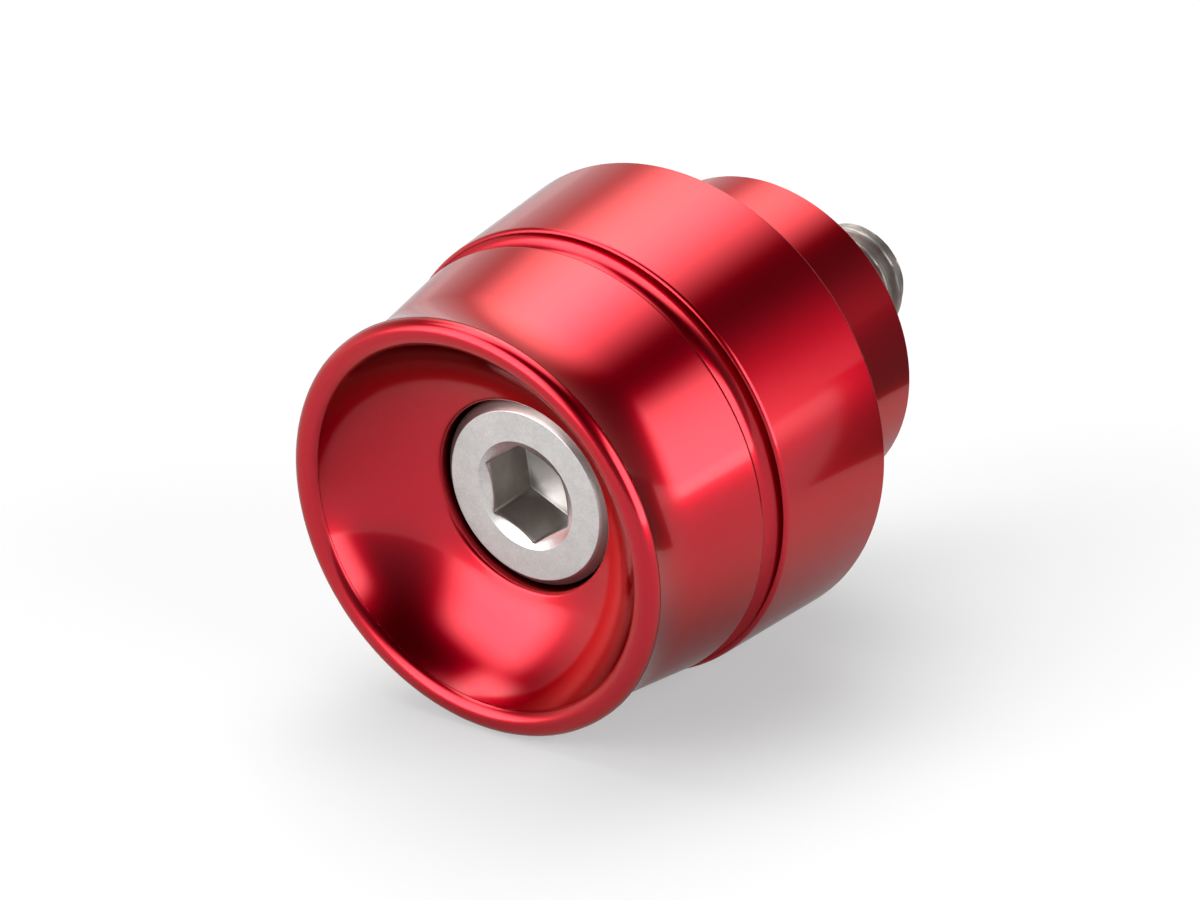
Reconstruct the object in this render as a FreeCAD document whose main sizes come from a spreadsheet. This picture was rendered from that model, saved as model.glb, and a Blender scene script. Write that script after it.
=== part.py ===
"""Bar end weight for a motorbike: a turned aluminium weight and the socket cap screw that holds it.

Millimetres. The origin is the centre of the weight's seat, the end face that meets the bar.
The bar lies towards +Y, the open bowl looks along -Y and +Z is up.
Both pieces are drawn with their turning axis along their own Y axis and are then turned half
round Z. A section's first coordinate is a radius and its second a station along the axis,
counted on the weight from the seat towards the bowl and on the screw from its tip to its head.
"""

import FreeCAD, Part
import math
import os
import Sketcher

doc = FreeCAD.newDocument("barEndWeight")
sizes = doc.addObject("Spreadsheet::Sheet", "sizes")

sizeRows = [
    ("spigotDiameter", 22.7, "collar that meets the bar"),
    ("spigotLength", 10.4, "seat to the barrel's shoulder"),
    ("spigotChamfer", 0.4, "edge of the seat"),
    ("barrelBaseDiameter", 32.5, "widest ring, at the shoulder"),
    ("barrelTopDiameter", 31.2, "barrel's edge at the cove"),
    ("barrelLength", 10.1, "shoulder to cove"),
    ("shoulderBevel", 0.25, "shoulder's edge"),
    ("barrelBevel", 0.3, "barrel's edge at the cove"),
    ("coveRadius", 1.1, "hollow at the foot of the cove"),
    ("coveWall", 0.5, "straight wall above the hollow"),
    ("neckStep", 0.45, "how far the tapered neck stands back from the barrel's edge"),
    ("neckBevel", 0.3, "neck's lower edge"),
    ("neckLength", 6.5, "straight taper of the neck"),
    ("neckEndDiameter", 28.3, "neck where the flare begins"),
    ("flareLength", 4.6, "flare from the taper's end to the rim"),
    ("rimDiameter", 29.1, "rim before its edge is bevelled"),
    ("rimBevel", 0.35, "rim's outer edge"),
    ("lipWidth", 1.65, "lip with its two bevels"),
    ("lipBevel", 0.4, "lip's inner edge, down into the bowl"),
    ("bowlDepth", 5.7, "lip down to the counterbore's edge"),
    ("headInset", 0.2, "screw head below the counterbore's edge"),
    ("headClearance", 0.2, "gap all round the screw head"),
    ("boreClearance", 0.5, "gap all round the screw thread"),
    ("boreChamfer", 0.5, "bore's end in the seat"),
    ("threadDiameter", 8.0, "M8 over the crests"),
    ("screwLength", 30.0, "under the head to the tip"),
    ("tipChamfer", 0.8, "lead-in of the thread"),
    ("headDiameter", 13.0, "socket cap head"),
    ("headHeight", 8.0, "socket cap head"),
    ("headChamfer", 0.6, "head's upper edge"),
    ("socketFlats", 6.0, "hexagon across its flats"),
    ("socketDepth", 4.2, "hexagon's depth from the head's face"),
    ("socketTurn", 25.5, "degrees that the hexagon is turned about the axis"),
    ("socketFloorMargin", 0.1, "from a flat to the floor's cone"),
    ("socketFloorDepth", 0.8, "depth of the floor's shallow cone"),
    ("countersinkDiameter", 7.6, "bevel round the socket's mouth"),
    ("countersinkAngle", 120.0, "full angle of that bevel, degrees"),
]

for number, (alias, value, note) in enumerate(sizeRows, start=1):
    sizes.set(f"A{number}", note)
    sizes.set(f"B{number}", str(value))
    sizes.setAlias(f"B{number}", alias)
doc.recompute()

# lengths that several features share, worked out from the sheet
barrelTop = "(sizes.spigotLength + sizes.barrelLength)"
neckBase = f"({barrelTop} + sizes.coveRadius + sizes.coveWall)"
flareStart = f"({neckBase} + sizes.neckLength)"
rimStation = f"({flareStart} + sizes.flareLength)"
bowlFloor = f"({rimStation} - sizes.bowlDepth)"
headSeat = f"({bowlFloor} - sizes.headInset - sizes.headHeight)"
neckBaseRadius = "(sizes.barrelTopDiameter / 2 - sizes.neckStep)"
coveOuter = "(sizes.barrelTopDiameter / 2 - sizes.barrelBevel)"
coveFloor = f"({coveOuter} - sizes.coveRadius)"
mouthRadius = "(sizes.rimDiameter / 2 - sizes.lipWidth)"
counterboreRadius = "(sizes.headDiameter / 2 + sizes.headClearance)"
boreRadius = "(sizes.threadDiameter / 2 + sizes.boreClearance)"
headFace = "(sizes.screwLength + sizes.headHeight)"
socketFloor = f"({headFace} - sizes.socketDepth)"
countersinkDepth = "(sizes.countersinkDiameter / 2 / tan(sizes.countersinkAngle / 2 * 1 deg))"
socketCorner = "(sizes.socketFlats / sqrt(3))"

# how near an edge lies to the place it is looked for at
edgeTolerance = 1e-5


def measure(expression):
    """Value of an expression over the sheet, as a plain number."""
    return float(sizes.evalExpression(expression))


def plane(body, role):
    """One of a body's own origin planes or axes."""
    for feature in body.Origin.OriginFeatures:
        if feature.Role == role:
            return feature
    raise ValueError(role)


def newSketch(body, name, role):
    sketch = body.newObject("Sketcher::SketchObject", name)
    sketch.AttachmentSupport = [(plane(body, role), "")]
    sketch.MapMode = "FlatFace"
    return sketch


def bind(sketch, constraint, name, expression):
    """Add a named dimension whose value comes from the sheet."""
    index = sketch.addConstraint(constraint)
    sketch.renameConstraint(index, name)
    sketch.setExpression(f"Constraints.{name}", expression)


def placeCorner(sketch, item, end, label, radius, station):
    """Tie one corner of a section to its radius and station."""
    if radius == "0":
        sketch.addConstraint(Sketcher.Constraint("PointOnObject", item, end, -2))
    else:
        across = Sketcher.Constraint("DistanceX", -1, 1, item, end, measure(radius))
        bind(sketch, across, f"{label}Radius", radius)
    if station == "0":
        sketch.addConstraint(Sketcher.Constraint("PointOnObject", item, end, -1))
    else:
        along = Sketcher.Constraint("DistanceY", -1, 1, item, end, measure(station))
        bind(sketch, along, f"{label}Station", station)


def arcBetween(start, end, radius, turn):
    """Short arc between two points: turn is 1 to bend left on the way there, -1 to bend right."""
    chord = end - start
    side = FreeCAD.Vector(-chord.y, chord.x, 0).normalize()
    reach = math.sqrt(radius**2 - (chord.Length / 2) ** 2)
    centre = start + chord * 0.5 + side * (turn * reach)
    first, last = (start, end) if turn == 1 else (end, start)
    firstAngle = math.atan2(first.y - centre.y, first.x - centre.x)
    lastAngle = math.atan2(last.y - centre.y, last.x - centre.x)
    circle = Part.Circle(centre, FreeCAD.Vector(0, 0, 1), radius)
    return Part.ArcOfCircle(circle, firstAngle, lastAngle)


def firstRadius(start, end, rule):
    """Radius that an arc is drawn with before its constraints settle it."""
    if rule == "tangent":
        return 2 * (end - start).Length
    if rule == "centred":
        middle = (end.Length**2 - start.Length**2) / (end.y - start.y) / 2
        return math.hypot(start.x, start.y - middle)
    return measure(rule)


def section(body, name, corners, arcs):
    """Closed half section from named corners, each a (label, radius, station).

    arcs maps the label of an arc's first corner to (bend, radius expression), to (bend, "tangent")
    where the arc runs on smoothly from the line before it, or to (bend, "centred") where its
    centre lies on the turning axis.
    """
    sketch = newSketch(body, name, "XY_Plane")
    points = [FreeCAD.Vector(measure(radius), measure(station), 0) for _, radius, station in corners]
    ends = []
    for index, (label, _, _) in enumerate(corners):
        start = points[index]
        end = points[(index + 1) % len(points)]
        if label not in arcs:
            item = sketch.addGeometry(Part.LineSegment(start, end))
            ends.append((item, 1, 2))
            continue
        turn, rule = arcs[label]
        item = sketch.addGeometry(arcBetween(start, end, firstRadius(start, end, rule), turn))
        ends.append((item, 1, 2) if turn == 1 else (item, 2, 1))
    for index, (item, first, _) in enumerate(ends):
        before, _, last = ends[index - 1]
        label, radius, station = corners[index]
        if label in arcs and arcs[label][1] == "tangent":
            sketch.addConstraint(Sketcher.Constraint("Tangent", before, last, item, first))
        else:
            sketch.addConstraint(Sketcher.Constraint("Coincident", before, last, item, first))
        placeCorner(sketch, item, first, label, radius, station)
    for index, (label, _, _) in enumerate(corners):
        _, rule = arcs.get(label, (0, "tangent"))
        if rule == "centred":
            sketch.addConstraint(Sketcher.Constraint("PointOnObject", ends[index][0], 3, -2))
        elif rule != "tangent":
            bind(sketch, Sketcher.Constraint("Radius", ends[index][0], measure(rule)), f"{label}Arc", rule)
    return sketch


def turned(body, kind, name, sketch):
    """Revolution or groove of a section, once round the body's Y axis."""
    feature = body.newObject(f"PartDesign::{kind}", name)
    feature.Profile = sketch
    feature.ReferenceAxis = (sketch, ["V_Axis"])
    feature.Angle = 360
    doc.recompute()
    return feature


def ring(feature, radius, station):
    """Name of the circular edge that lies at a radius and station."""
    for number, edge in enumerate(feature.Shape.Edges, start=1):
        if not edge.Closed or not isinstance(edge.Curve, Part.Circle):
            continue
        offRadius = abs(edge.Curve.Radius - measure(radius))
        offStation = abs(edge.Curve.Center.y - measure(station))
        if offRadius < edgeTolerance and offStation < edgeTolerance:
            return f"Edge{number}"
    raise ValueError(f"{feature.Name} has no ring at radius {radius}, station {station}")


def bevel(body, name, size, radius, station):
    """Chamfer on the ring at a radius and station."""
    base = body.Tip
    feature = body.newObject("PartDesign::Chamfer", name)
    feature.Base = (base, [ring(base, radius, station)])
    feature.setExpression("Size", size)
    doc.recompute()
    return feature


def hexagonSketch(body, name, station):
    """Hexagon across socketFlats, turned by socketTurn, on a plane square to the axis."""
    sketch = newSketch(body, name, "XZ_Plane")
    # this plane's normal points down the axis, so a station along it counts as negative
    sketch.setExpression(".AttachmentOffset.Base.z", f"-{station}")
    corner = measure(socketCorner)
    turn = math.radians(measure("sizes.socketTurn"))
    points = []
    for number in range(6):
        angle = turn + number * math.pi / 3
        points.append(FreeCAD.Vector(corner * math.cos(angle), corner * math.sin(angle), 0))
    for number in range(6):
        sketch.addGeometry(Part.LineSegment(points[number], points[(number + 1) % 6]))
    circle = sketch.addGeometry(Part.Circle(FreeCAD.Vector(), FreeCAD.Vector(0, 0, 1), corner), True)
    spoke = sketch.addGeometry(Part.LineSegment(FreeCAD.Vector(), points[0]), True)
    sketch.addConstraint(Sketcher.Constraint("Coincident", circle, 3, -1, 1))
    sketch.addConstraint(Sketcher.Constraint("Coincident", spoke, 1, -1, 1))
    for number in range(6):
        sketch.addConstraint(Sketcher.Constraint("Coincident", number, 2, (number + 1) % 6, 1))
        sketch.addConstraint(Sketcher.Constraint("PointOnObject", number, 1, circle))
    for number in range(1, 6):
        sketch.addConstraint(Sketcher.Constraint("Equal", 0, number))
    sketch.addConstraint(Sketcher.Constraint("Coincident", spoke, 2, 0, 1))
    bind(sketch, Sketcher.Constraint("Radius", circle, corner), "cornerRadius", socketCorner)
    bind(sketch, Sketcher.Constraint("Angle", spoke, turn), "turn", "sizes.socketTurn * 1 deg")
    return sketch


def newBody(name):
    body = doc.addObject("PartDesign::Body", name)
    body.Label = name
    body.Placement = FreeCAD.Placement(FreeCAD.Vector(), FreeCAD.Rotation(FreeCAD.Vector(0, 0, 1), 180))
    return body


def buildWeight():
    """The weight, turned from one bar: spigot, barrel, cove, tapered neck, flared rim and bowl."""
    body = newBody("weight_body")
    outside = section(
        body,
        "outsideSection",
        [
            ("seatCentre", "0", "0"),
            ("seatEdge", "sizes.spigotDiameter / 2", "0"),
            ("spigotRoot", "sizes.spigotDiameter / 2", "sizes.spigotLength"),
            ("shoulderEdge", "sizes.barrelBaseDiameter / 2", "sizes.spigotLength"),
            ("barrelEdge", "sizes.barrelTopDiameter / 2", barrelTop),
            ("barrelCorner", "sizes.barrelTopDiameter / 2", neckBase),
            ("neckFoot", neckBaseRadius, neckBase),
            ("neckEnd", "sizes.neckEndDiameter / 2", flareStart),
            ("rimEdge", "sizes.rimDiameter / 2", rimStation),
            ("rimCentre", "0", rimStation),
        ],
        {"neckEnd": (-1, "tangent")},
    )
    turned(body, "Revolution", "blank", outside)

    # the same cut bevels the barrel's edge, along a line that runs on out of the metal
    bevelReach = "(2 * sizes.barrelBevel)"
    cove = section(
        body,
        "coveSection",
        [
            ("coveTop", f"{coveOuter} + {bevelReach}", neckBase),
            ("coveCorner", coveFloor, neckBase),
            ("coveHollow", coveFloor, f"{barrelTop} + sizes.coveRadius"),
            ("coveFoot", coveOuter, barrelTop),
            ("bevelEnd", f"{coveOuter} + {bevelReach}", f"{barrelTop} - {bevelReach}"),
        ],
        {"coveHollow": (1, "sizes.coveRadius")},
    )
    turned(body, "Groove", "cove", cove)

    bowl = section(
        body,
        "bowlSection",
        [
            ("bowlAxis", "0", bowlFloor),
            ("counterboreEdge", counterboreRadius, bowlFloor),
            ("lipEdge", mouthRadius, rimStation),
            ("mouthCentre", "0", rimStation),
        ],
        {"counterboreEdge": (1, "centred")},
    )
    turned(body, "Groove", "bowl", bowl)

    # counterbored hole for the screw, drilled from the bottom of the bowl right through
    centre = newSketch(body, "screwHoleCentre", "XZ_Plane")
    centre.setExpression(".AttachmentOffset.Base.z", f"-{bowlFloor}")
    drill = Part.Circle(FreeCAD.Vector(), FreeCAD.Vector(0, 0, 1), measure(boreRadius))
    drillCircle = centre.addGeometry(drill)
    centre.addConstraint(Sketcher.Constraint("Coincident", drillCircle, 3, -1, 1))
    bind(centre, Sketcher.Constraint("Radius", drillCircle, measure(boreRadius)), "boreRadius", boreRadius)
    doc.recompute()
    hole = body.newObject("PartDesign::Hole", "screwHole")
    hole.Profile = centre
    hole.Reversed = True
    hole.ThreadType = 0
    hole.DepthType = "ThroughAll"
    hole.DrillPoint = "Flat"
    hole.HoleCutType = "Counterbore"
    hole.HoleCutCustomValues = True
    hole.setExpression("Diameter", f"2 * {boreRadius}")
    hole.setExpression("HoleCutDiameter", f"2 * {counterboreRadius}")
    hole.setExpression("HoleCutDepth", f"{bowlFloor} - {headSeat}")
    doc.recompute()

    bevel(body, "seatChamfer", "sizes.spigotChamfer", "sizes.spigotDiameter / 2", "0")
    bevel(body, "boreChamfer", "sizes.boreChamfer", boreRadius, "0")
    bevel(body, "shoulderBevel", "sizes.shoulderBevel", "sizes.barrelBaseDiameter / 2", "sizes.spigotLength")
    bevel(body, "neckBevel", "sizes.neckBevel", neckBaseRadius, neckBase)
    bevel(body, "rimBevel", "sizes.rimBevel", "sizes.rimDiameter / 2", rimStation)
    bevel(body, "lipBevel", "sizes.lipBevel", mouthRadius, rimStation)
    return body


def buildScrew():
    """M8 x 30 socket cap screw. Its fine thread is drawn as a plain cylinder over the crests."""
    body = newBody("socket_cap_screw")
    body.setExpression(".Placement.Base.y", f"sizes.screwLength - {headSeat}")
    outside = section(
        body,
        "screwSection",
        [
            ("tipCentre", "0", "0"),
            ("tipEdge", "sizes.threadDiameter / 2", "0"),
            ("threadRoot", "sizes.threadDiameter / 2", "sizes.screwLength"),
            ("headFoot", "sizes.headDiameter / 2", "sizes.screwLength"),
            ("headEdge", "sizes.headDiameter / 2", headFace),
            ("faceCentre", "0", headFace),
        ],
        {},
    )
    turned(body, "Revolution", "screwBlank", outside)

    hexagon = hexagonSketch(body, "socketHexagon", headFace)
    socket = body.newObject("PartDesign::Pocket", "keySocket")
    socket.Profile = hexagon
    socket.Reversed = True
    socket.setExpression("Length", "sizes.socketDepth")
    doc.recompute()

    countersink = section(
        body,
        "countersinkSection",
        [
            ("countersinkTop", "0", headFace),
            ("countersinkEdge", "sizes.countersinkDiameter / 2", headFace),
            ("countersinkPoint", "0", f"{headFace} - {countersinkDepth}"),
        ],
        {},
    )
    turned(body, "Groove", "countersink", countersink)

    floorCone = section(
        body,
        "socketFloorSection",
        [
            ("floorTop", "0", socketFloor),
            ("floorEdge", "sizes.socketFlats / 2 - sizes.socketFloorMargin", socketFloor),
            ("floorPoint", "0", f"{socketFloor} - sizes.socketFloorDepth"),
        ],
        {},
    )
    turned(body, "Groove", "socketFloor", floorCone)

    bevel(body, "headBevel", "sizes.headChamfer", "sizes.headDiameter / 2", headFace)
    bevel(body, "threadLead", "sizes.tipChamfer", "sizes.threadDiameter / 2", "0")
    return body


pieces = [buildWeight(), buildScrew()]
doc.recompute()

for item in doc.Objects:
    if "Invalid" in item.State or "Error" in item.State:
        raise RuntimeError(f"{item.Name} did not build: {item.State}")
for piece in pieces:
    if piece.Shape.isNull() or not piece.Shape.isValid() or len(piece.Shape.Solids) != 1:
        raise RuntimeError(f"{piece.Label} is not one valid solid")

os.makedirs("parts", exist_ok=True)
for piece in pieces:
    piece.Shape.exportStep(f"parts/{piece.Label}.step")
    box = piece.Shape.optimalBoundingBox(False, False)
    print(f"{piece.Label}: {piece.Shape.Volume:.1f} mm3, y {box.YMin:.2f} to {box.YMax:.2f}")
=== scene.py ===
import math

import bmesh
import bpy
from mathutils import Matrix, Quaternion, Vector


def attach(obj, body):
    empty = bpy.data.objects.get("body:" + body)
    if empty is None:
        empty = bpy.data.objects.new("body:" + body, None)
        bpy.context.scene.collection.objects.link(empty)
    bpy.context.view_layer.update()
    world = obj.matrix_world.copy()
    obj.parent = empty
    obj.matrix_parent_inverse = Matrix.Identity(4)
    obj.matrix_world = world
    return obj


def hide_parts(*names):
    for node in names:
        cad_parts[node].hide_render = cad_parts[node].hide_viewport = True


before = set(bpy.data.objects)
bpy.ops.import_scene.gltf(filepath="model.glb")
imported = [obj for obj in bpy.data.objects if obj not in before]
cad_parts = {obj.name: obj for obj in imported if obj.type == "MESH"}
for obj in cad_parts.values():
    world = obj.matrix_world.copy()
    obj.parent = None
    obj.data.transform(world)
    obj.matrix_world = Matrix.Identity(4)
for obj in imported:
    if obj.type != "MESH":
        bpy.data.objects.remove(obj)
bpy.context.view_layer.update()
mm = 0.001
print("frame loaded:", ", ".join(sorted(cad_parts)))


# small helpers for node trees

def addNode(tree, kind, **values):
    node = tree.nodes.new(kind)
    for name, value in values.items():
        setattr(node, name, value)
    return node


def join(tree, value, socket):
    # an output is linked, anything else is set on the socket
    if isinstance(value, bpy.types.NodeSocket):
        tree.links.new(value, socket)
    else:
        socket.default_value = value


def feed(tree, node, **inputs):
    # a socket is named by its label without spaces
    for name, value in inputs.items():
        socket = next(s for s in node.inputs if s.enabled and s.name.replace(" ", "") == name)
        join(tree, value, socket)
    return node


def result(node):
    return next(s for s in node.outputs if s.enabled)


def wired(tree, kind, *values, **settings):
    # a node whose first sockets take the values in order
    node = addNode(tree, kind, **settings)
    for socket, value in zip(node.inputs, values):
        join(tree, value, socket)
    return result(node)


def mathNode(tree, operation, *values):
    return wired(tree, "ShaderNodeMath", *values, operation=operation)


def meanOf(tree, first, second):
    return mathNode(tree, "MULTIPLY", mathNode(tree, "ADD", first, second), 0.5)


def ramp(tree, value, ends, results, kind="SMOOTHSTEP"):
    # the first result at the first end, the second at the other, and flat beyond them
    node = addNode(tree, "ShaderNodeMapRange", interpolation_type=kind)
    feed(tree, node, Value=value, FromMin=ends[0], FromMax=ends[1], ToMin=results[0], ToMax=results[1])
    return result(node)


def mixed(tree, share, first, second, kind="RGBA", blend="MIX"):
    node = addNode(tree, "ShaderNodeMix", data_type=kind, blend_type=blend)
    return result(feed(tree, node, Factor=share, A=first, B=second))


def separated(tree, vector):
    parts = addNode(tree, "ShaderNodeSeparateXYZ")
    tree.links.new(vector, parts.inputs[0])
    return parts.outputs[:]


def coordinates(tree, source):
    return addNode(tree, "ShaderNodeTexCoord").outputs[source]


def opaque(color):
    return (*color, 1)


def grey(level):
    return (level, level, level, 1)


def linked(name, data):
    made = bpy.data.objects.new(name, data)
    bpy.context.scene.collection.objects.link(made)
    return made


# what both finishes use

def newGroup(name, inputs, outputs):
    group = bpy.data.node_groups.new(name, "ShaderNodeTree")
    for direction, labels in (("INPUT", inputs), ("OUTPUT", outputs)):
        for label in labels:
            group.interface.new_socket(name=label, in_out=direction, socket_type="NodeSocketFloat")
    return group, addNode(group, "NodeGroupInput"), addNode(group, "NodeGroupOutput")


def noise(tree, place, scale, detail, roughness):
    node = addNode(tree, "ShaderNodeTexNoise")
    return result(feed(tree, node, Vector=place, Scale=scale, Detail=detail, Roughness=roughness))


def fromAxis(tree, x, z):
    # distance from the Y axis, round which everything is turned
    squares = mathNode(tree, "ADD", mathNode(tree, "MULTIPLY", x, x), mathNode(tree, "MULTIPLY", z, z))
    return mathNode(tree, "SQRT", squares)


def latheMarks():
    # fine circles left by the tool, which follow the distance along the axis and from it
    group, start, end = newGroup("latheMarks", ("Spacing", "Waver"), ("Height", "Mask"))
    x, y, z = separated(group, coordinates(group, "Object"))
    spacing = start.outputs["Spacing"]
    waver = mathNode(group, "SINE", mathNode(group, "ARCTAN2", z, x))
    place = addNode(group, "ShaderNodeCombineXYZ")
    feed(group, place, X=mathNode(group, "DIVIDE", fromAxis(group, x, z), spacing),
         Y=mathNode(group, "DIVIDE", y, spacing),
         Z=mathNode(group, "MULTIPLY", waver, start.outputs["Waver"]))
    rings = noise(group, place.outputs[0], scale=1.0, detail=3.0, roughness=0.6)
    bands = noise(group, place.outputs[0], scale=0.13, detail=2.0, roughness=0.5)
    join(group, rings, end.inputs["Height"])
    join(group, meanOf(group, rings, bands), end.inputs["Mask"])
    return group


def fineGrain():
    # tiny tooth of an etched or rolled surface, with wider cloudy patches
    group, start, end = newGroup("fineGrain", ("Grain", "Clouds"), ("Height", "Clouds"))
    place = coordinates(group, "Object")
    tooth = noise(group, place, scale=start.outputs["Grain"], detail=2.0, roughness=0.6)
    clouds = noise(group, place, scale=start.outputs["Clouds"], detail=4.0, roughness=0.6)
    join(group, tooth, end.inputs["Height"])
    join(group, clouds, end.inputs["Clouds"])
    return group


marksGroup = latheMarks()
grainGroup = fineGrain()
noiseSpan = (0.3, 0.7)      # what most of a noise lies between


def spread(tree, value, low, high):
    return ramp(tree, value, noiseSpan, (low, high), kind="LINEAR")


def newMaterial(name):
    material = bpy.data.materials.new(name)
    material.use_nodes = True
    tree = material.node_tree
    return material, tree, tree.nodes["Principled BSDF"]


def surfaceMarks(tree, look):
    # both groups, with the finish's own values
    marks = addNode(tree, "ShaderNodeGroup", node_tree=marksGroup)
    grain = addNode(tree, "ShaderNodeGroup", node_tree=grainGroup)
    feed(tree, marks, Spacing=look["markSpacing"], Waver=look["markWaver"])
    feed(tree, grain, Grain=look["grain"], Clouds=look["clouds"])
    return marks.outputs, grain.outputs


def bumped(tree, main, faint, look):
    height = mathNode(tree, "ADD", main, mathNode(tree, "MULTIPLY", faint, look["faintShare"]))
    bump = addNode(tree, "ShaderNodeBump")
    return result(feed(tree, bump, Strength=1.0, Distance=look["depth"], Height=height))


# red anodised aluminium

anodisedLook = {
    "color": (0.67, 0.0, 0.018),
    "deepColor": (0.64, 0.0, 0.016),
    "innerShare": 0.45,                 # of the color, where the metal shows in itself, as in the bowl: painted shade on its own reflections
    "thrownColor": (0.2, 0.12, 0.12),   # what it throws on the floor: a dull grey in place of the red, painted shade that darkens the floor's shadow and keeps it grey
    "edgeTint": (0.6, 0.03, 0.06),
    "roughness": (0.275, 0.285),
    "coatWeight": 1.0,
    "coatRoughness": 0.1,
    "coatIor": 1.48,
    "markSpacing": 0.00012,
    "markWaver": 0.08,
    "grain": 14000.0,
    "clouds": 180.0,
    "depth": 0.00000005,                # of the marks, and the grain's share of it
    "faintShare": 0.35,
}


def anodisedFinish(look):
    material, tree, shader = newMaterial("redAnodised")
    marks, grain = surfaceMarks(tree, look)
    rays = addNode(tree, "ShaderNodeLightPath").outputs
    clouds = spread(tree, grain["Clouds"], 0.0, 1.0)
    color = mixed(tree, clouds, opaque(look["deepColor"]), opaque(look["color"]))
    # painted shade: the colour is darker where the metal is seen mirrored in itself
    color = mixed(tree, rays["Is Glossy Ray"], color, grey(look["innerShare"]), blend="MULTIPLY")
    # painted shade: a dull grey in the light it bounces, so the floor's shadow is darker and grey
    color = mixed(tree, rays["Is Diffuse Ray"], color, opaque(look["thrownColor"]))
    feed(tree, shader, BaseColor=color, Metallic=1.0, SpecularTint=opaque(look["edgeTint"]),
         Roughness=spread(tree, marks["Mask"], *look["roughness"]),
         Normal=bumped(tree, marks["Height"], grain["Height"], look),
         CoatWeight=look["coatWeight"], CoatRoughness=look["coatRoughness"], CoatIOR=look["coatIor"])
    return material


# satin steel, bright on the head's face and duller elsewhere, with painted shade in the socket and on the
# head's sides

steelLook = {
    "color": (0.98, 0.945, 0.93),
    "deepColor": (0.75, 0.715, 0.7),
    "dullColor": (0.47, 0.44, 0.41),    # of the head's sides and its socket: partly their duller forged finish, partly painted shade in these recesses
    "threadColor": (0.37, 0.34, 0.315),
    # where each mask begins and is full, in mm: the first and last along the axis, the second away from it
    "socketFrom": (-26.95, -26.6),
    "sideFrom": (5.95, 6.1),
    "threadFrom": (-19.4, -19.2),
    "mottling": (0.7, 1.0),             # of the duller parts
    "roughness": (0.28, 0.36),
    "dullRoughness": 0.42,
    "markSpacing": 0.00015,
    "markWaver": 0.6,
    "grain": 6000.0,
    "clouds": 900.0,
    "depth": 0.000006,                  # of the grain, and the marks' share of it
    "faintShare": 0.3,
}


def dullAndShadedParts(tree, look, clouds):
    # two masks: all but the head's bright face, mottled, as duller finish and painted shade in the recesses,
    # and the thread alone
    x, y, z = separated(tree, coordinates(tree, "Object"))
    masks = []
    for name, value in (("socketFrom", y), ("sideFrom", fromAxis(tree, x, z)), ("threadFrom", y)):
        masks.append(ramp(tree, value, [end * mm for end in look[name]], (0.0, 1.0)))
    behind, beside, thread = masks
    mottling = spread(tree, clouds, *look["mottling"])
    return mathNode(tree, "MULTIPLY", mathNode(tree, "MAXIMUM", behind, beside), mottling), thread


def steelFinish(look):
    material, tree, shader = newMaterial("satinSteel")
    marks, grain = surfaceMarks(tree, look)
    dullAndShaded, thread = dullAndShadedParts(tree, look, grain["Clouds"])
    speckle = spread(tree, meanOf(tree, grain["Clouds"], grain["Height"]), 0.0, 1.0)
    color = mixed(tree, speckle, opaque(look["deepColor"]), opaque(look["color"]))
    # duller finish and painted shade in the socket and on the head's sides
    color = mixed(tree, dullAndShaded, color, opaque(look["dullColor"]))
    color = mixed(tree, thread, color, opaque(look["threadColor"]))
    patches = spread(tree, meanOf(tree, grain["Clouds"], marks["Mask"]), *look["roughness"])
    feed(tree, shader, BaseColor=color, Metallic=1.0,
         Roughness=mixed(tree, dullAndShaded, patches, look["dullRoughness"], kind="FLOAT"),
         Normal=bumped(tree, grain["Height"], marks["Height"], look))
    return material


redAnodised = anodisedFinish(anodisedLook)
satinSteel = steelFinish(steelLook)
print("finishes built")


# helpers for the geometry trees

socketKinds = {int: "NodeSocketInt", float: "NodeSocketFloat", bpy.types.Material: "NodeSocketMaterial"}


def newTree(name, settings):
    # the settings become the tree's named inputs
    tree = bpy.data.node_groups.new(name, "GeometryNodeTree")
    tree.interface.new_socket(name="Geometry", in_out="INPUT", socket_type="NodeSocketGeometry")
    for label, value in settings.items():
        tree.interface.new_socket(name=label, in_out="INPUT", socket_type=socketKinds[type(value)])
    tree.interface.new_socket(name="Geometry", in_out="OUTPUT", socket_type="NodeSocketGeometry")
    return tree, addNode(tree, "NodeGroupInput").outputs, addNode(tree, "NodeGroupOutput").inputs[0]


def closeTree(tree, geometry, finish, end):
    smooth = wired(tree, "GeometryNodeSetShadeSmooth", geometry)
    real = wired(tree, "GeometryNodeRealizeInstances", smooth)
    coloured = feed(tree, addNode(tree, "GeometryNodeSetMaterial"), Geometry=real, Material=finish)
    tree.links.new(coloured.outputs[0], end)


def dressed(host, tree, settings):
    # the tree's named inputs are set by identifier, then the result is kept as a plain mesh
    modifier = host.modifiers.new(tree.name, "NODES")
    modifier.node_group = tree
    for item in tree.interface.items_tree:
        if item.in_out == "INPUT" and item.name in settings:
            modifier[item.identifier] = settings[item.name]
    host.update_tag()
    seen = host.evaluated_get(bpy.context.evaluated_depsgraph_get())
    made = bpy.data.meshes.new_from_object(seen)
    host.modifiers.remove(modifier)
    old = host.data
    host.data = made
    made.name = host.name
    bpy.data.meshes.remove(old)
    return host


# mm from a rounding's end to the extra point that keeps the next face straight when shaded smooth
beside = 0.03


# the weight, turned from one bar

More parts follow.
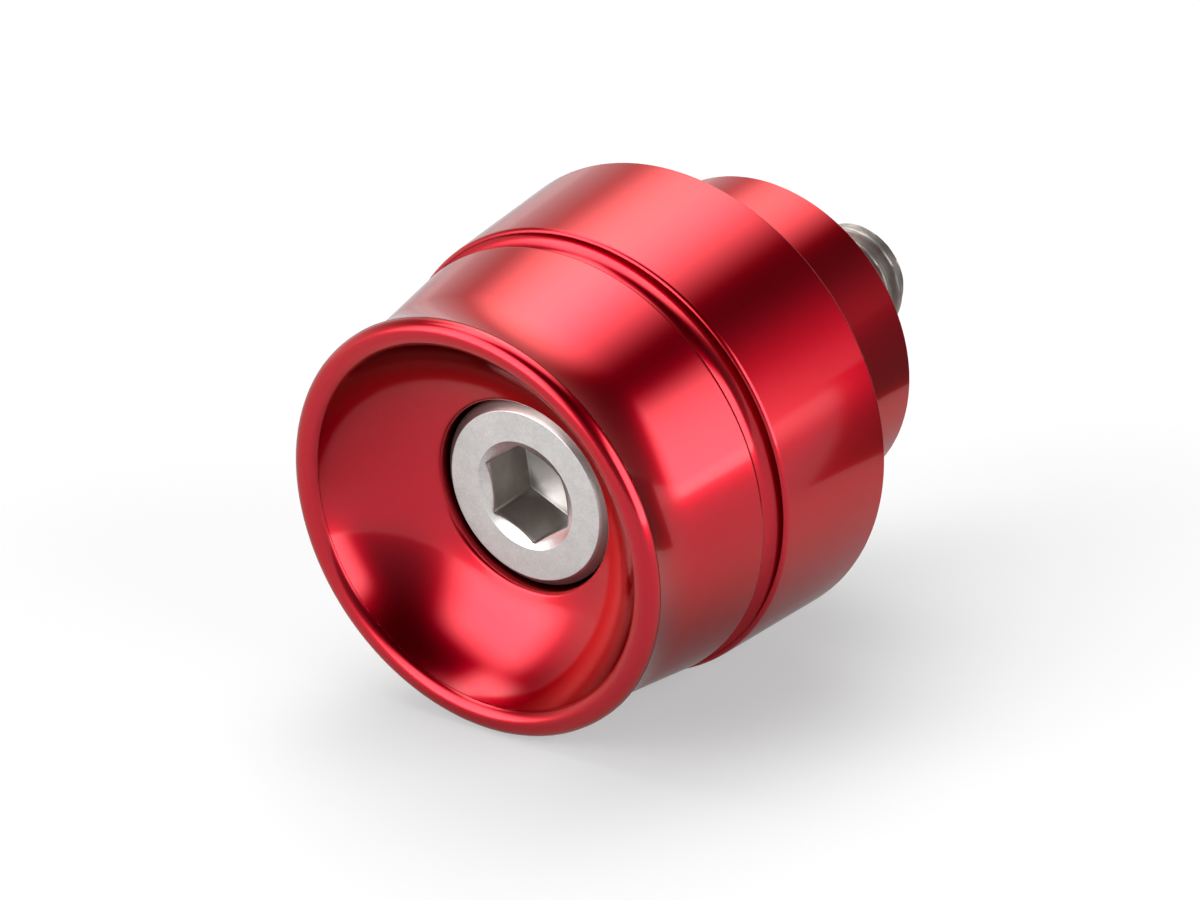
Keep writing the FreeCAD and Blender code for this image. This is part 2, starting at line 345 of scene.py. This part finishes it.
weightShape = {
    # corners: distance from the axis, distance from the seat, rounding (mm)
    "section": {
        "boreMouth": (5.0, 0.0, 0.06),
        "seatEdge": (10.95, 0.0, 0.12),
        "collarEdge": (11.35, 0.4, 0.12),
        "collarFoot": (11.35, 10.4, 0.08),
        "barrelShoulder": (16.235, 10.4, 0.12),
        "barrelEnd": (15.6, 20.5, 0.3),
        "cove": (14.2, 20.5, 1.1),
        "coveFoot": (14.2, 22.1, 0.1),
        "neckShoulder": (15.15, 22.1, 0.28),
        "flare": (13.889, 30.3, 9.8),
        "rim": (14.66, 33.2, 0.8),
        "lip": (12.9, 33.2, 1.0),
        "bowl": (10.96, 29.09, 9.5),
        "counterboreMouth": (6.7, 27.5, 0.35),
        "counterboreFloor": (6.7, 19.3, 0.1),
        "boreEnd": (4.5, 19.3, 0.1),
        "boreStart": (4.5, 0.5, 0.06),
    },
    # a rounding larger than "Broad from" is divided into the broad steps
    "turning": {
        "Segments": 300,
        "Fine steps": 6,
        "Broad steps": 22,
        "Broad from": 0.9 * mm,
        "Finish": redAnodised,
    },
}


def sectionLine(name, corners):
    # a closed line through the corners, with an extra point on each side of every rounding
    mostOfSide = 0.98
    spots = [Vector((reach, -station, 0)) for reach, station, _ in corners]
    points = []
    for i, (_, _, rounding) in enumerate(corners):
        here = spots[i]
        back = spots[i - 1] - here
        ahead = spots[(i + 1) % len(spots)] - here
        stand = rounding * math.tan((math.pi - back.angle(ahead)) / 2) + beside
        points.append((here + back.normalized() * min(stand, back.length * mostOfSide), 0.0))
        points.append((here, rounding))
        points.append((here + ahead.normalized() * min(stand, ahead.length * mostOfSide), 0.0))
    mesh = bpy.data.meshes.new(name)
    total = len(points)
    mesh.from_pydata([point * mm for point, _ in points], [(i, (i + 1) % total) for i in range(total)], [])
    roundings = mesh.attributes.new("rounding", "FLOAT", "POINT")
    roundings.data.foreach_set("value", [rounding * mm for _, rounding in points])
    return mesh


def turnedTree(settings):
    # rounds the section's corners, then turns it round the Y axis
    tree, sizes, end = newTree("turnedPiece", settings)
    line = wired(tree, "GeometryNodeMeshToCurve", sizes["Geometry"])
    rounding = wired(tree, "GeometryNodeInputNamedAttribute", "rounding", data_type="FLOAT")
    isBroad = wired(tree, "FunctionNodeCompare", rounding, sizes["Broad from"],
                    data_type="FLOAT", operation="GREATER_THAN")
    steps = wired(tree, "GeometryNodeSwitch", isBroad, sizes["Fine steps"], sizes["Broad steps"],
                  input_type="INT")
    rounded = feed(tree, addNode(tree, "GeometryNodeFilletCurve", mode="POLY"), Curve=line,
                   Radius=rounding, Count=steps, LimitRadius=True)
    core = 10 * mm      # the turning circle; the section is shifted by as much, so it cancels out
    shifted = feed(tree, addNode(tree, "GeometryNodeTransform"), Geometry=rounded.outputs[0],
                   Translation=(-core, 0, 0))
    circle = feed(tree, addNode(tree, "GeometryNodeCurvePrimitiveCircle", mode="RADIUS"),
                  Resolution=sizes["Segments"], Radius=core)
    swept = feed(tree, addNode(tree, "GeometryNodeCurveToMesh"), Curve=circle.outputs[0],
                 ProfileCurve=shifted.outputs[0])
    upright = feed(tree, addNode(tree, "GeometryNodeTransform"), Geometry=swept.outputs[0],
                   Rotation=(math.pi / 2, 0, 0))
    closeTree(tree, upright.outputs[0], sizes["Finish"], end)
    return tree


def solidVolume(mesh):
    total = 0.0
    mesh.calc_loop_triangles()
    for face in mesh.loop_triangles:
        a, b, c = (mesh.vertices[i].co for i in face.vertices)
        total += a.dot(b.cross(c)) / 6
    return total


def turnedWeight(shape):
    piece = linked("turnedWeight", sectionLine("turnedWeight", list(shape["section"].values())))
    dressed(piece, turnedTree(shape["turning"]), shape["turning"])
    if solidVolume(piece.data) < 0:
        piece.data.flip_normals()
    return piece


weightPiece = turnedWeight(weightShape)
weightVolume = round(solidVolume(weightPiece.data) / mm ** 3, 1)
print("weight turned:", len(weightPiece.data.polygons), "faces,", weightVolume, "mm3")


# the screw's head, forged with its hexagon

headShape = {
    # corners: distance from the axis, distance from the seat, rounding (mm)
    "outside": {
        "underside": (3.9, 19.3, 0.0),
        "foot": (6.5, 19.3, 0.25),
        "side": (6.5, 26.7, 0.12),
        "faceEdge": (5.9, 27.3, 0.07),
        "countersinkMouth": (3.8, 27.3, 0.05),
    },
    "countersinkAngle": 30.0,
    "flats": 6.0,
    "cornerRadius": 0.16,
    "turn": 34.5,           # degrees from +X to a corner of the hexagon
    "floor": 23.1,
    "floorRadius": 2.9,
    "dish": 0.8,
    "columns": 240,
    # where the rings lie between the outside and the middle
    "coneReach": 3.7,           # the first one on the countersink
    "coneShares": (0.5, 0.9),   # from that one to the hexagon
    # outside the hexagon and below the countersink, then outside the hexagon and above the floor
    "edge": ((0.02, 0.012), (0.0, 0.045), (0.0, 0.1)),
    "wallFoot": ((0.0, 0.35), (0.0, 0.1), (0.0, 0.04), (-0.03, 0.01)),
    "floorShares": (0.96, 0.9, 0.8, 0.68, 0.55, 0.42, 0.28, 0.14),  # of the hexagon
}


def roundedLine(corners, steps=4):
    # an open line with its corners rounded by arcs, as (reach, station)
    points = [corners[0][:2]]
    for before, (reach, station, rounding), after in zip(corners, corners[1:], corners[2:]):
        here = Vector((reach, station))
        back = (Vector(before[:2]) - here).normalized()
        ahead = (Vector(after[:2]) - here).normalized()
        half = back.angle(ahead) / 2
        stand = rounding / math.tan(half)
        middle = here + (back + ahead).normalized() * rounding / math.sin(half)
        begin = here + back * stand - middle
        finish = here + ahead * stand - middle
        turn = math.pi - 2 * half
        points.append(tuple(here + back * (stand + beside)))
        for k in range(steps + 1):
            share = k / steps
            part = begin * math.sin((1 - share) * turn) + finish * math.sin(share * turn)
            points.append(tuple(middle + part / math.sin(turn)))
        points.append(tuple(here + ahead * (stand + beside)))
    points.append(corners[-1][:2])
    return points


def hexagonReach(angle, flats, cornerRadius):
    # distance from the axis to a hexagon with slightly rounded corners; a corner lies at angle 0
    halfSide = math.pi / 6
    apothem = flats / 2
    away = abs((angle + halfSide) % (2 * halfSide) - halfSide)
    centre = (apothem - cornerRadius) / math.cos(halfSide)
    touch = math.atan2((apothem - cornerRadius) * math.tan(halfSide), apothem)
    if halfSide - away > touch:
        return centre * math.cos(away) + math.sqrt(cornerRadius ** 2 - (centre * math.sin(away)) ** 2)
    return apothem / math.cos(halfSide - away)


def headRings(shape):
    # from the underside over the outside, down the countersink and the wall, and over the floor
    columns = shape["columns"]
    floor = shape["floor"]
    coneReach = shape["coneReach"]
    slope = math.tan(math.radians(shape["countersinkAngle"]))
    mouthReach, mouthStation, _ = shape["outside"]["countersinkMouth"]
    hexagon = []
    for k in range(columns):
        hexagon.append(hexagonReach(math.radians(360 * k / columns), shape["flats"], shape["cornerRadius"]))

    def coneStation(reach):
        return mouthStation - (mouthReach - reach) * slope

    def dishedStation(reach):
        return floor - shape["dish"] * max(0.0, 1 - (reach / shape["floorRadius"]) ** 2)

    outside = roundedLine([*shape["outside"].values(), (coneReach, coneStation(coneReach), 0.0)])
    rings = [[point] * columns for point in outside]
    for share in shape["coneShares"]:
        line = [coneReach + (reach - coneReach) * share for reach in hexagon]
        rings.append([(reach, coneStation(reach)) for reach in line])
    for outward, deeper in shape["edge"]:
        rings.append([(reach + outward, coneStation(reach) - deeper) for reach in hexagon])
    for outward, higher in shape["wallFoot"]:
        rings.append([(reach + outward, floor + higher) for reach in hexagon])
    for share in shape["floorShares"]:
        rings.append([(reach * share, dishedStation(reach * share)) for reach in hexagon])
    return rings


def screwHead(shape):
    columns = shape["columns"]
    built = bmesh.new()
    rows = []
    for ring in headRings(shape):
        row = []
        for k, (reach, station) in enumerate(ring):
            angle = math.radians(shape["turn"] + 360 * k / columns)
            place = Vector((reach * math.cos(angle), -station, reach * math.sin(angle)))
            row.append(built.verts.new(place * mm))
        rows.append(row)
    for low, high in zip(rows, rows[1:]):
        for k in range(columns):
            n = (k + 1) % columns
            built.faces.new((low[k], low[n], high[n], high[k]))
    middle = built.verts.new((0, -(shape["floor"] - shape["dish"]) * mm, 0))
    for k in range(columns):
        built.faces.new((rows[-1][k], rows[-1][(k + 1) % columns], middle))
    built.faces.new(list(reversed(rows[0])))
    for face in built.faces:
        face.smooth = True
    bmesh.ops.recalc_face_normals(built, faces=built.faces)
    mesh = bpy.data.meshes.new("socketHead")
    built.to_mesh(mesh)
    built.free()
    mesh.materials.append(satinSteel)
    mesh.set_sharp_from_angle(angle=math.radians(45))
    return linked("socketHead", mesh)


headPiece = screwHead(headShape)


# the screw's shank, with its rolled thread

threadShape = {
    "Length": 30.0 * mm,
    "Tip": 10.7 * mm,
    "Crest radius": 3.97 * mm,
    "Root radius": 3.30 * mm,
    "Tip radius": 3.22 * mm,
    "Pitch": 1.25 * mm,
    "Root to": 0.12,        # of the way from the middle of a root to the middle of a crest
    "Crest from": 0.84,
    "Columns": 96,
    "Rows": 330,
    "Finish": satinSteel,
}


def threadTree(settings):
    # a tube from the tip back to the head, whose wall follows a helical thread and ends in a chamfer
    tree, sizes, end = newTree("rolledThread", settings)
    grid = feed(tree, addNode(tree, "GeometryNodeMeshGrid"), SizeX=1.0, SizeY=1.0,
                VerticesX=mathNode(tree, "ADD", sizes["Columns"], 1.0), VerticesY=sizes["Rows"])
    x, y, _ = separated(tree, addNode(tree, "GeometryNodeInputPosition").outputs[0])
    turn = mathNode(tree, "ADD", x, 0.5)
    along = mathNode(tree, "MULTIPLY", mathNode(tree, "ADD", y, 0.5), sizes["Length"])
    turns = mathNode(tree, "DIVIDE", along, sizes["Pitch"])
    phase = mathNode(tree, "FRACT", mathNode(tree, "SUBTRACT", turns, turn))     # right-handed
    fromMiddle = mathNode(tree, "ABSOLUTE", mathNode(tree, "SUBTRACT", phase, 0.5))
    rise = mathNode(tree, "MULTIPLY", fromMiddle, 2.0)
    flank = ramp(tree, rise, (sizes["Root to"], sizes["Crest from"]),
                 (sizes["Root radius"], sizes["Crest radius"]))
    chamfer = mathNode(tree, "ADD", sizes["Tip radius"], along)
    reach = mathNode(tree, "MINIMUM", flank, chamfer)
    angle = mathNode(tree, "MULTIPLY", turn, 2 * math.pi)
    spot = addNode(tree, "ShaderNodeCombineXYZ")
    feed(tree, spot, X=mathNode(tree, "MULTIPLY", reach, mathNode(tree, "COSINE", angle)),
         Y=mathNode(tree, "SUBTRACT", sizes["Tip"], along),
         Z=mathNode(tree, "MULTIPLY", reach, mathNode(tree, "SINE", angle)))
    wall = feed(tree, addNode(tree, "GeometryNodeSetPosition"), Geometry=grid.outputs[0],
                Position=spot.outputs[0])
    disc = feed(tree, addNode(tree, "GeometryNodeMeshCircle", fill_type="NGON"),
                Vertices=sizes["Columns"], Radius=sizes["Tip radius"])
    tipPlace = feed(tree, addNode(tree, "ShaderNodeCombineXYZ"), Y=sizes["Tip"])
    tipFace = feed(tree, addNode(tree, "GeometryNodeTransform"), Geometry=disc.outputs[0],
                   Translation=tipPlace.outputs[0], Rotation=(math.pi / 2, 0, 0))
    both = addNode(tree, "GeometryNodeJoinGeometry")
    for part in (wall, tipFace):
        tree.links.new(part.outputs[0], both.inputs[0])
    seamGap = 0.002 * mm
    closed = feed(tree, addNode(tree, "GeometryNodeMergeByDistance"), Geometry=both.outputs[0],
                  Distance=seamGap)
    closeTree(tree, closed.outputs[0], sizes["Finish"], end)
    return tree


def rolledShank(shape):
    piece = linked("rolledShank", bpy.data.meshes.new("rolledShank"))
    dressed(piece, threadTree(shape), shape)
    whole = bmesh.new()     # gets a face over the end in the head
    whole.from_mesh(piece.data)
    bmesh.ops.holes_fill(whole, edges=[edge for edge in whole.edges if edge.is_boundary], sides=0)
    bmesh.ops.recalc_face_normals(whole, faces=whole.faces)
    whole.to_mesh(piece.data)
    whole.free()
    piece.data.set_sharp_from_angle(angle=math.radians(40))
    return piece


threadPiece = rolledShank(threadShape)
print("screw built:", len(headPiece.data.polygons), "and", len(threadPiece.data.polygons), "faces")


# what each piece stands for

standing = (
    (weightPiece, "weight_body", "anodised"),
    (headPiece, "socket_cap_screw", "steel"),
    (threadPiece, "socket_cap_screw", "steel"),
)
for piece, node, slotName in standing:
    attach(piece, "root")
    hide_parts(node)
print("pieces in place of the frame's nodes")


# the studio

studio = {
    "floorReach": 3.0,
    "floorSlope": -0.0819,              # the weight lies on the barrel's edge and the rim, so the floor tilts
    "floorTouch": (-0.0104, -0.01628),  # y and z of the floor under the barrel's edge
    # greys of the floor: as it throws light, for the camera, and in metal and glass
    "floorColor": 0.42,
    "floorSeen": 0.55,
    "floorMirrored": 0.46,
    # what lifts it to white for the camera, and in metal and glass near the weight and far off
    "glowSeen": 0.36,
    "glowMirrored": (0.12, 0.6),
    "glowSpread": (0.15, 0.9),          # what near and far are, m
    # the low part of the world, brighter at -X than at +X, and what it comes to overhead
    "horizonSpan": (-0.7, 0.4),
    "horizon": (0.85, 0.2),
    "ceilingFrom": 0.82,                # as the sine of the height
    "ceiling": 0.0,
    "backdropTop": (0.02, 0.07),        # where the white backdrop starts and ends its fading, as sines too
    # toward: degrees away from straight up, to +X and to +Y; across and along: the box's size in degrees;
    # softness: the share of each half over which it fades to its edge
    "boxes": {
        "rearLeft": {"toward": (-15, 27.5), "across": 67, "along": 81, "twist": 16,
                     "radiance": 4.4, "softness": 1.0},
        "frontLeft": {"toward": (-27, -58), "across": 70, "along": 70, "twist": -3,
                      "radiance": 3.3, "softness": 0.7},
        "right": {"toward": (75, 9.8), "across": 67, "along": 60, "twist": 10,
                  "radiance": 3.3, "softness": 0.51},
        "overhead": {"toward": (-28, -4.5), "across": 42, "along": 40, "twist": 45,
                     "radiance": 3.3, "softness": 0.77},
    },
    "boxDistance": 1.1,
    "boxCentre": (0, -0.015, 0),
    # a dark card beside the weight, which only the metal sees, a painted dark reflection: its ends on the
    # floor, its top and its grey
    "flagEnds": ((0.0435, 0.0095), (0.0165, 0.034)),
    "flagTop": 0.009,
    "flagTone": 0.12,
}


def softbox(name, box, distance, centre):
    east, north = box["toward"]
    lean = math.radians(math.hypot(east, north))
    flat = Vector((east, north, 0)).normalized()
    direction = flat * math.sin(lean) + Vector((0, 0, 1)) * math.cos(lean)
    light = bpy.data.lights.new(name, "AREA")
    light.shape = "RECTANGLE"
    light.size = 2 * distance * math.tan(math.radians(box["across"] / 2))
    light.size_y = 2 * distance * math.tan(math.radians(box["along"] / 2))
    light.energy = box["radiance"] * math.pi * light.size * light.size_y
    light.use_nodes = True
    tree = light.node_tree
    place = addNode(tree, "ShaderNodeNewGeometry").outputs["Parametric"]
    fades = []
    for side in separated(tree, place)[:2]:
        centred = mathNode(tree, "SUBTRACT", mathNode(tree, "MULTIPLY", side, 2.0), 1.0)
        away = mathNode(tree, "ABSOLUTE", centred)
        fades.append(ramp(tree, away, (1.0 - box["softness"], 1.0), (1.0, 0.0)))
    feed(tree, tree.nodes["Emission"], Strength=mathNode(tree, "MULTIPLY", *fades))
    lamp = linked(name, light)
    lamp.location = direction * distance + Vector(centre)
    twist = Quaternion((0, 0, 1), math.radians(box["twist"]))
    lamp.rotation_euler = ((-direction).to_track_quat("-Z", "Y") @ twist).to_euler()
    return lamp


def raysSeen(tree):
    # masks for the camera's own rays, and for those that metal or glass sends on
    rays = addNode(tree, "ShaderNodeLightPath").outputs
    mirrored = mathNode(tree, "MAXIMUM", rays["Is Glossy Ray"], rays["Is Transmission Ray"])
    return rays["Is Camera Ray"], mirrored


def floorHeight(settings, y):
    touchY, touchZ = settings["floorTouch"]
    return touchZ + settings["floorSlope"] * (y - touchY)


def plainMaterial(name):
    # has no shader yet, only the socket for one
    material, tree, shader = newMaterial(name)
    tree.nodes.remove(shader)
    return material, tree, tree.nodes["Material Output"].inputs["Surface"]


def fourCornered(name, corners, material):
    mesh = bpy.data.meshes.new(name)
    mesh.from_pydata(corners, [], [(0, 1, 2, 3)])
    mesh.materials.append(material)
    return linked(name, mesh)


def floorFinish(settings):
    material, tree, surface = plainMaterial("paleFloor")
    seen, mirrored = raysSeen(tree)
    tone = mixed(tree, seen, grey(settings["floorColor"]), grey(settings["floorSeen"]))
    tone = mixed(tree, mirrored, tone, grey(settings["floorMirrored"]))
    matt = wired(tree, "ShaderNodeBsdfDiffuse", tone)
    away = wired(tree, "ShaderNodeVectorMath", coordinates(tree, "Object"), operation="LENGTH")
    rising = ramp(tree, away, settings["glowSpread"], settings["glowMirrored"])
    strength = mathNode(tree, "ADD", mathNode(tree, "MULTIPLY", seen, settings["glowSeen"]),
                        mathNode(tree, "MULTIPLY", mirrored, rising))
    glow = wired(tree, "ShaderNodeEmission", grey(1), strength)
    lit = wired(tree, "ShaderNodeAddShader", matt, glow)
    # a camera that stands lower than the floor sees through it
    fromBelow = addNode(tree, "ShaderNodeNewGeometry").outputs["Backfacing"]
    clear = wired(tree, "ShaderNodeBsdfTransparent")
    join(tree, wired(tree, "ShaderNodeMixShader", fromBelow, lit, clear), surface)
    return material


def paleFloor(settings):
    reach = settings["floorReach"]
    middle = settings["floorTouch"][0]
    corners = []
    for right, rear in ((-1, -1), (1, -1), (1, 1), (-1, 1)):
        y = middle + rear * reach
        corners.append((right * reach, y, floorHeight(settings, y)))
    floor = fourCornered("studioFloor", corners, floorFinish(settings))
    return floor


# painted reflection: a dim glowing card that only metal sees, darkening the weight's lower right side
def paintedDarkReflection(settings):
    material, tree, surface = plainMaterial("paintedDarkReflectionCard")
    join(tree, wired(tree, "ShaderNodeEmission", grey(settings["flagTone"]), 1.0), surface)
    ends = settings["flagEnds"]
    foot = [(x, y, floorHeight(settings, y)) for x, y in ends]
    top = [(x, y, settings["flagTop"]) for x, y in reversed(ends)]
    reflectionCard = fourCornered("paintedDarkReflection", foot + top, material)
    reflectionCard.visible_camera = False
    reflectionCard.visible_diffuse = False
    reflectionCard.visible_shadow = False
    return reflectionCard


def studioWorld(settings):
    world = bpy.data.worlds.new("studioWorld")
    world.use_nodes = True
    bpy.context.scene.world = world
    tree = world.node_tree
    x, _, z = separated(tree, coordinates(tree, "Generated"))
    horizon = ramp(tree, x, settings["horizonSpan"], settings["horizon"])
    light = ramp(tree, z, (0.0, settings["ceilingFrom"]), (horizon, settings["ceiling"]))
    backdrop = ramp(tree, z, settings["backdropTop"], (1.0, 0.0))
    seen, mirrored = raysSeen(tree)
    shown = mathNode(tree, "MAXIMUM", seen, mathNode(tree, "MULTIPLY", mirrored, backdrop))
    feed(tree, tree.nodes["Background"], Color=grey(1), Strength=mathNode(tree, "MAXIMUM", light, shown))
    return world


paleFloor(studio)
paintedDarkReflection(studio)
studioWorld(studio)
for name, box in studio["boxes"].items():
    softbox(name, box, studio["boxDistance"], studio["boxCentre"])
print("studio lit by", len(studio["boxes"]), "softboxes")


# the camera

view = {
    "place": (0.21798, -0.28935, 0.17345),
    "aim": (-0.003879, -0.0145, -0.003358),
    "roll": 4.5457,
    "lens": 180.0,
    "sensor": 36.0,
    "clip": (0.01, 20.0),
}


def studioCamera(settings):
    camera = bpy.data.cameras.new("studioCamera")
    camera.lens = settings["lens"]
    camera.sensor_width = settings["sensor"]
    camera.clip_start, camera.clip_end = settings["clip"]
    holder = linked("studioCamera", camera)
    holder.location = settings["place"]
    gaze = Vector(settings["aim"]) - holder.location
    turn = Quaternion(gaze, math.radians(settings["roll"])) @ gaze.to_track_quat("-Z", "Y")
    holder.rotation_euler = turn.to_euler()
    bpy.context.scene.camera = holder
    return holder


studioCamera(view)
bpy.context.scene.view_settings.view_transform = "Standard"
print("camera set")
